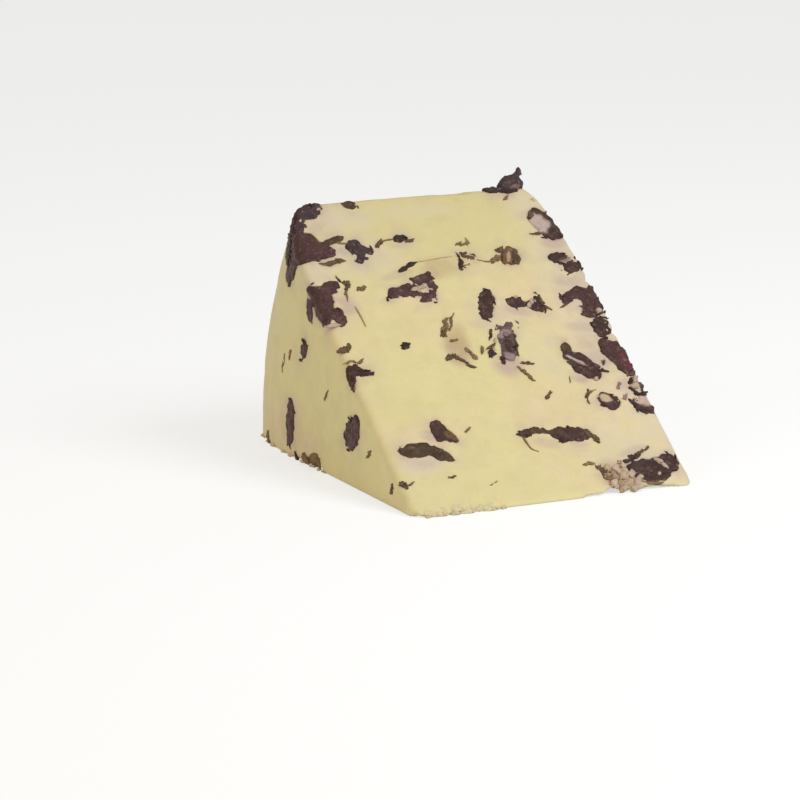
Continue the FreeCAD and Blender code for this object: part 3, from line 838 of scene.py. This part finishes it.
def thread(places, width, salt):
    # a thin flat strip along a smooth line through its places
    corners = np.array([facePlace(*p) for p in places])
    steps = threadShape["steps"] * (len(corners) - 1) + 1
    share = np.linspace(0, len(corners) - 1, steps)
    padded = np.vstack([2 * corners[0] - corners[1], corners, 2 * corners[-1] - corners[-2]])
    index = np.minimum(share.astype(int), len(corners) - 2)
    t = (share - index)[:, None]
    p0, p1, p2, p3 = (padded[index + k] for k in range(4))
    bend = (2 * p0 - 5 * p1 + 4 * p2 - p3) * t ** 2
    line = 0.5 * (2 * p1 + (p2 - p0) * t + bend + (3 * p1 - p0 - 3 * p2 + p3) * t ** 3)
    ways = np.gradient(line, axis=0)
    ways /= np.linalg.norm(ways, axis=1)[:, None]
    beside = np.cross(faceOut, ways)
    taper = np.sqrt(np.clip(1 - np.abs(np.linspace(-1, 1, steps)) ** 3, 0.02, 1))
    taper = taper * (1 + threadShape["uneven"] * lumpGrain.at(line * 0.6 + salt))
    sides = threadShape["sides"]
    ring = np.linspace(0, 2 * math.pi, sides + 1)[:-1]
    wide = np.cos(ring)[None, :, None] * (taper * width / 2)[:, None, None]
    high = np.sin(ring)[None, :, None] * threadShape["thick"]
    points = (line[:, None, :] + beside[:, None, :] * wide + faceOut * high).reshape(-1, 3)
    faces = []
    for i in range(steps - 1):
        for j in range(sides):
            a, b = i * sides + j, i * sides + (j + 1) % sides
            faces.append((a, b, b + sides, a + sides))
    last = (steps - 1) * sides
    for j in range(1, sides - 1, 2):
        faces.append((0, j + 2, j + 1, j))
    for j in range(1, sides - 1, 2):
        faces.append((last, last + j, last + j + 1, last + j + 2))
    return points, np.array(faces)


def splitQuads(quads):
    return np.vstack([quads[:, [0, 1, 2]], quads[:, [0, 2, 3]]])


def toSurface(place, out):
    # slides a place along a direction until it lies on the plain wedge
    for _ in range(8):
        place = place - out * wedgeField(place[None])[0]
    return place


def onSurface(place):
    return abs(wedgeField(place[None])[0]) < 0.3


def unit(way):
    return way / max(np.linalg.norm(way), 1e-6)


def onFace(face, first, second):
    # a place on a face, its two directions and its outward one
    if face == "front":
        return facePlace(first, second), across, lean, faceOut
    if face == "left":
        return np.array([-halfWidth, first, second]), backward, upward, -across
    if face == "shoulder":
        place = toSurface(np.array([-halfWidth, first, second]), -across)
        out = outwardAt(place[None])[0]
        ahead = unit(np.cross(out, upward))
        return place, ahead, np.cross(ahead, out), out
    if face == "right":
        return np.array([halfWidth, first, second]), backward, upward, across
    angle = second
    out = np.array([0, math.cos(angle), math.sin(angle)])
    around = np.array([0, -math.sin(angle), math.cos(angle)])
    return across * first + out * wheel["radius"], across, around, out


def shredSeats(berryFields, chance):
    # torn bits of skin close round each berry that a cut has opened
    shape = flecks["shreds"]
    level, band = shape["opened"]
    seats = []
    for name in berryFields:
        if "_under_" in name or name == ridgeBerry:
            continue
        corners, _ = nodeMesh(name)
        skin = corners[np.abs(wedgeField(corners) - level) < band]
        if len(skin) < shape["fewest"]:
            continue
        middle = skin.mean(0)
        kind = berryKind(name)
        tints = [oval for _, *oval in kind.get("tints", ())]
        reach = np.linalg.norm(np.ptp(skin, axis=0))
        for _ in range(round(shape["number"] * min(reach / shape["berry"], shape["most"]))):
            spot = skin[int(chance.integers(len(skin)))]
            away = unit(spot - middle)
            spot = spot + away * chance.uniform(*shape["away"])
            size = chance.uniform(*shape["size"])
            if any(patchRatio(spot[None], *oval)[0] < shape["clearOfTints"] for oval in tints):
                continue
            width = size * chance.uniform(*shape["slim"])
            turn = chance.uniform(*shape["turn"])
            out = outwardAt(spot[None])[0]
            beside = unit(np.cross(out, away))
            seats.append((spot, beside, np.cross(out, beside), out, size, width, turn, kind["flesh"]))
    return seats


def fleckSeats(berryFields, chance):
    # every fleck as its place, directions, length, width, turn and flesh
    rows = [(face, *row) for face, group in flecks["rows"].items() for row in group]
    others = flecks["others"]
    for k in range(others["number"]):
        face = others["sides"][k % len(others["sides"])]
        length = chance.uniform(*others["length"])
        if face == "rim":
            first = chance.uniform(-0.8, 0.8) * halfWidth
            second = chance.uniform(0.06, 0.94) * wheel["angle"]
        else:
            out = chance.uniform(0.3, 0.93) * wheel["radius"]
            angle = chance.uniform(0.1, 0.9) * wheel["angle"]
            first, second = out * math.cos(angle), out * math.sin(angle)
        flesh = others["flesh"][int(chance.integers(len(others["flesh"])))]
        width = length * chance.uniform(*others["slim"])
        rows.append((face, first, second, length, width, chance.uniform(-90, 90), flesh))
    seats = [(*onFace(face, first, second), *rest) for face, first, second, *rest in rows]
    return seats + shredSeats(berryFields, chance)


def makeFlecks(berryFields):
    colours = {**berryLook["colours"], **flecks["colours"]}
    colours = {title: linear(*value) for title, value in colours.items()}
    chance = np.random.default_rng(7)
    heap = Heap()
    for salt, (place, u, v, out, length, width, turn, flesh) in enumerate(fleckSeats(berryFields, chance)):
        place = toSurface(place, out)
        if not onSurface(place):
            continue
        bits = max(1, round(length / flecks["bit"]))
        for bit in range(bits):
            share = (bit + 0.5) / bits - 0.5
            angle = math.radians(turn)
            ahead, beside = turned(u, v, angle)
            spot = place + ahead * (share * length)
            spot = spot + beside * (width * chance.uniform(-0.2, 0.2))
            angle += math.radians(chance.uniform(-28, 28))
            wide = width * chance.uniform(0.75, 1.25) * (1 - 0.9 * abs(share) ** 1.5)
            made = lump(spot, 1.55 * length / bits, wide, flecks["thick"], (*turned(u, v, angle), out),
                        salt * 3 + bit, flecks["ragged"])
            tone = 1 + berryLook["tone"] * toneGrain.at(made)
            heap.add(made, ballFaces, np.tile(colours[flesh], (len(made), 1)) * tone[:, None])
    for salt, (width, flesh, places) in enumerate(threads):
        made, quads = thread(places, width, salt * 2.3)
        heap.add(made, splitQuads(quads), np.tile(colours[flesh], (len(made), 1)))
    points, faces, tints = heap.joined()
    return makeMesh("skinFlecks", points, faces, {"flesh": tints})


def crumbSpots(berryFields, chance):
    # every crumb as its place, length, width, thickness, angle, directions and stain
    spots = []
    stains = crumbs["juicyStains"]
    for x, up, length, width, turn in crumbs["juicy"]:
        spots.append((facePlace(x, up) - faceOut * 0.2, length, 1.35 * width, 1.7, math.radians(turn),
                      lean, across, faceOut, stains[len(spots) % len(stains)]))
    for x, up, length, width, turn in crumbs["front"]:
        spots.append((facePlace(x, up) + faceOut * 0.1, length, width, 0.8 * width, math.radians(turn),
                      lean, across, faceOut, crumbs["frontStain"]))
    # small ones smeared on the berries by the knife
    names = [n for n in berryFields if "_under_" not in n]
    strewn = crumbs["onBerries"]
    for _ in range(strewn["number"]):
        name = names[int(chance.integers(len(names)))]
        berry, _ = nodeMesh(name)
        spot = berry[int(chance.integers(len(berry)))] * 0.75 + berry.mean(0) * 0.25
        first, second = berryDirections(name, berry.mean(0))
        out = np.cross(first, second)
        out = out if out @ (berry.mean(0) - heart) > 0 else -out
        size = chance.uniform(*strewn["size"])
        spot = toSurface(spot, out)
        if onSurface(spot):
            spots.append((spot + out * 0.2, size * 1.6, size, 0.5 * size, chance.uniform(0, 3),
                          second, first, out, strewn["stain"]))
    strewn = crumbs["corner"]
    for _ in range(strewn["number"]):
        size = chance.uniform(*strewn["size"])
        x, up = -halfWidth + chance.uniform(*strewn["across"]), chance.uniform(*strewn["up"])
        spots.append((facePlace(x, up) - faceOut * 0.25, size * 1.5, size, 0.9, chance.uniform(-0.6, 0.6),
                      lean, across, faceOut, strewn["stain"]))
    strewn = crumbs["alongEdge"]
    low, high = (-halfWidth + reach for reach in strewn["across"])
    for _ in range(strewn["number"]):
        size = chance.uniform(*strewn["size"])
        if chance.uniform() < 0.5:
            spot = np.array([chance.uniform(low, high), chance.uniform(*strewn["up"]), size * 0.3])
        else:
            spot = toSurface(np.array([-halfWidth, chance.uniform(*strewn["back"]), size * 0.3]), -across)
        spots.append((spot, size * 1.4, size, size * 0.8, chance.uniform(0, 3),
                      backward, across, upward, strewn["stain"]))
    return spots


def makeCrumbs(berryFields):
    heap = Heap()
    spots = crumbSpots(berryFields, np.random.default_rng(17))
    for salt, (place, length, width, thick, angle, v, u, out, stain) in enumerate(spots):
        made = lump(place, length, width, thick, (*turned(u, v, angle), out), salt, crumbs["ragged"])
        heap.add(made, ballFaces, np.tile(stain, (len(made), 1)))
    points, faces, juices = heap.joined()
    lilac, brown, film = juices.T
    stains = {"milk": np.full(len(lilac), crumbs["milk"]), "lilac": lilac, "brown": brown, "film": film}
    return makeMesh("cheeseCrumbs", points, faces, stains)


# The finishes: colours, and noises as (scale, detail, roughness)
cheeseFinish = {
    "tones": {
        "yellow": (228, 216, 158), "milk": (224, 210, 182), "green": (224, 212, 150),
        # the top colour is painted shade, for the upper cheese near the ridge
        "peach": (230, 211, 166), "mottle": (214, 200, 148), "top": (206, 194, 138),
        "lilac": (200, 178, 160), "brown": (188, 160, 118), "film": (128, 102, 98),
    },
    "broad": (28, 2.0, 0.5),
    "other": (55, 3.0, 0.6),
    "otherStretch": (1, 1.3, 0.8),
    "mottle": (210, 3.0, 0.6),
    "curd": (420, 2.0, 0.5),
    "grain": (900, 2.0, 0.6),
    "fine": (1500, 3.0, 0.6),
    "topShadeZone": (0.034, 0.058),     # the heights between which the cheese darkens towards the ridge, painted shade
    # the least of each stain, and what the grain adds to it
    "stains": (("lilac", 0.75, 0.4), ("brown", 0.6, 0.5), ("film", 0.6, 0.5)),
    "rough": 0.52,
    "subsurface": 0.10,
}
berryFinish = {
    # the crease colour is painted shade for the hollows of the skin's fine bump
    "bloom": (134, 106, 98), "speck": (168, 138, 124), "creaseShade": (38, 24, 20),
    "broad": (520, 3.0, 0.6),
    "fine": (1700, 3.0, 0.6),
    "specks": (1050, 2.0, 0.5),
    "rough": 0.42,
}


def cheeseMaterial():
    shader = newShader("cheese")
    tones = {title: tuple(linear(*value)) for title, value in cheeseFinish["tones"].items()}
    broad = shader.noise(*cheeseFinish["broad"])
    mottle = shader.noise(*cheeseFinish["mottle"])
    other = shader.noise(*cheeseFinish["other"], shader.place(cheeseFinish["otherStretch"]))
    colour = shader.mix(broad.between(0.40, 0.62), tones["yellow"], tones["peach"])
    colour = shader.mix(other.between(0.5, 0.72) * 0.7, colour, tones["green"])
    height = shader.node("ShaderNodeSeparateXYZ", {}, {0: shader.place()}, "Z")
    # painted shade: the upper part of the cheese is mixed towards the darker top colour, darker towards
    # the ridge
    colour = shader.mix(height.between(*cheeseFinish["topShadeZone"]) * 0.5, colour, tones["top"])
    colour = shader.mix(mottle.between(0.40, 0.75) * 0.35, colour, tones["mottle"])
    grain = shader.noise(*cheeseFinish["grain"])
    colour = shader.mix(shader.painted("milk") * 0.9, colour, tones["milk"])
    for title, least, grainy in cheeseFinish["stains"]:
        colour = shader.mix(shader.painted(title) * (least + grain * grainy), colour, tones[title])
    curd = shader.noise(*cheeseFinish["curd"])
    normal = shader.bump(shader.noise(*cheeseFinish["fine"]), 0.00012, 0.5)
    normal = shader.bump(curd, 0.00035, 0.5, normal)
    return shader.finish({
        "Base Color": colour, "Roughness": cheeseFinish["rough"] + curd * 0.12 - 0.06, "Normal": normal,
        "Subsurface Weight": cheeseFinish["subsurface"], "Subsurface Radius": (1.0, 0.7, 0.35),
        "Subsurface Scale": 0.0015, "IOR": 1.42,
    })


def berryMaterial():
    shader = newShader("berryFlesh")
    bloom, pit, creaseShade = (tuple(linear(*berryFinish[title])) for title in ("bloom", "speck", "creaseShade"))
    flesh = shader.painted("flesh", "Color")
    broad = shader.noise(*berryFinish["broad"])
    fine = shader.noise(*berryFinish["fine"], distort=0.6)
    speck = shader.noise(*berryFinish["specks"])
    # the pale patches keep their own colour
    plain = 1 - shader.node("ShaderNodeRGBToBW", {}, {0: flesh}).between(0.12, 0.35) * 0.8
    colour = shader.mix(broad.between(0.50, 0.72) * 0.30 * plain, flesh, bloom)
    colour = shader.mix(speck.between(0.60, 0.74) * 0.40, colour, pit)
    # painted shade: the skin is darkened where the fine bump noise is low, in its hollows
    colour = shader.mix(fine.between(0.56, 0.36) * 0.40 * plain, colour, creaseShade)
    normal = shader.bump(fine, 0.00025, 0.7)
    normal = shader.bump(broad, 0.0006, 0.6, normal)
    return shader.finish({
        "Base Color": colour, "Roughness": berryFinish["rough"] + broad * 0.25, "Normal": normal,
        "Subsurface Weight": 0.05, "Subsurface Radius": (1.0, 0.4, 0.4), "Subsurface Scale": 0.0006,
        "Specular IOR Level": 0.3,
    })


# The floor, the light and the camera. Directions are in degrees round the wedge and
# up, distances in metres, and the camera's aim in millimetres off the wedge's middle.
studio = {
    "floor": (0.86, 0.86, 0.85),
    "floorReach": 8.0,
    "glow": 1.25,          # of the floor, as the camera sees it
    "world": 0.55,
    "key": {"azimuth": 34, "elevation": 44, "distance": 0.6, "size": 0.4, "power": 1.85,
            "colour": (0.99, 1, 1)},
    "fill": {"azimuth": -75, "elevation": 25, "distance": 1.1, "size": 0.8, "power": 2.35,
             "colour": (1, 0.80, 0.44)},
}
viewer = {
    "azimuth": -27.10, "elevation": 12.02, "distance": 0.87044, "lens": 172.67,
    "middle": (0, 45, 26), "aimAcross": -14.591, "aimUp": -12.018,
}


def aroundObject(azimuth, elevation):
    a, e = math.radians(azimuth), math.radians(elevation)
    return Vector((math.sin(a) * math.cos(e), -math.cos(a) * math.cos(e), math.sin(e)))


def wedgeMiddle():
    return Vector(toFrame(np.array(viewer["middle"], float)))


def makeCamera():
    back = aroundObject(viewer["azimuth"], viewer["elevation"])
    turn = math.radians(viewer["azimuth"])
    right = Vector((math.cos(turn), math.sin(turn), 0))
    up = back.cross(right)
    middle = wedgeMiddle()
    place = middle + back * viewer["distance"]
    aim = middle + (right * viewer["aimAcross"] + up * viewer["aimUp"]) * millimetre
    data = bpy.data.cameras.new("camera")
    data.lens = viewer["lens"]
    data.sensor_width = 36
    data.clip_start = 0.01
    camera = bpy.data.objects.new("camera", data)
    camera.location = place
    camera.rotation_mode = "QUATERNION"
    camera.rotation_quaternion = (aim - place).to_track_quat("-Z", "Y")
    bpy.context.scene.collection.objects.link(camera)
    bpy.context.scene.camera = camera


def makeLamp(name):
    lamp = studio[name]
    data = bpy.data.lights.new(name, "AREA")
    data.shape = "DISK"
    data.size = lamp["size"]
    data.energy = lamp["power"]
    data.color = lamp["colour"]
    thing = bpy.data.objects.new(name, data)
    direction = aroundObject(lamp["azimuth"], lamp["elevation"])
    thing.location = wedgeMiddle() + direction * lamp["distance"]
    thing.rotation_mode = "QUATERNION"
    thing.rotation_quaternion = (-direction).to_track_quat("-Z", "Y")
    bpy.context.scene.collection.objects.link(thing)


def lightPath(shader, kind):
    return shader.node("ShaderNodeLightPath", {}, {}, kind)


def seenFactor(shader):
    # one for what the camera sees directly, in a gloss or through glass
    return (lightPath(shader, "Is Camera Ray") + lightPath(shader, "Is Glossy Ray")
            + lightPath(shader, "Is Transmission Ray"))


def makeStage():
    size = studio["floorReach"]
    corners = [(-size, -size, 0), (size, -size, 0), (size, size, 0), (-size, size, 0)]
    mesh = bpy.data.meshes.new("floor")
    mesh.from_pydata(corners, [], [(0, 1, 2, 3)])
    floor = bpy.data.objects.new("floor", mesh)
    floor.location = (0, 0, cheeseLow.z)
    bpy.context.scene.collection.objects.link(floor)
    shader = newShader("floor")
    plain = shader.node("ShaderNodeBsdfDiffuse", {}, {"Color": (*studio["floor"], 1)})
    bright = shader.node("ShaderNodeEmission", {}, {"Color": (1, 1, 1, 1), "Strength": studio["glow"]})
    surface = shader.node("ShaderNodeMixShader", {}, {0: seenFactor(shader) * 0.5, 1: plain, 2: bright})
    shader.node("ShaderNodeOutputMaterial", {}, {"Surface": surface})
    mesh.materials.append(shader.owner)


def makeWorld():
    # it lights the wedge more weakly than it shows to the camera
    world = bpy.data.worlds.new("studio")
    bpy.context.scene.world = world
    shader = Shader(world)
    light = shader.node("ShaderNodeBackground", {}, {"Strength": studio["world"]})
    backdrop = shader.node("ShaderNodeBackground")
    seen = lightPath(shader, "Is Camera Ray")
    mixed = shader.node("ShaderNodeMixShader", {}, {0: seen, 1: light, 2: backdrop})
    shader.node("ShaderNodeOutputWorld", {}, {"Surface": mixed})


def dress(piece, material):
    piece.data.materials.clear()
    piece.data.materials.append(material)
    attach(piece, "root")


makeCamera()
makeStage()
makeWorld()
for lampName in ("key", "fill"):
    makeLamp(lampName)
bpy.context.scene.view_settings.view_transform = "Standard"
print("camera, floor and lamps made")

berries, berryFields = makeBerries()
berryFlesh = berryMaterial()
for piece, node in zip(berries, berryFields):
    dress(piece, berryFlesh)
print("berries made:", len(berries), "pieces,", sum(len(b.data.polygons) for b in berries), "faces")

cheeseFinished = cheeseMaterial()
cheesePoints, cheeseQuads = makeCheese(berryFields)
distance = berryDistance(cheesePoints, berryFields)
cheese = makeMesh("cheeseWedge", cheesePoints, cheeseQuads, juiceOn(cheesePoints, distance))
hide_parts("cheese")
dress(cheese, cheeseFinished)
print("cheese made:", len(cheese.data.polygons), "faces")

fleckPiece = makeFlecks(berryFields)
dress(fleckPiece, berryFlesh)
crumbPiece = makeCrumbs(berryFields)
dress(crumbPiece, cheeseFinished)
print("flecks and crumbs made")
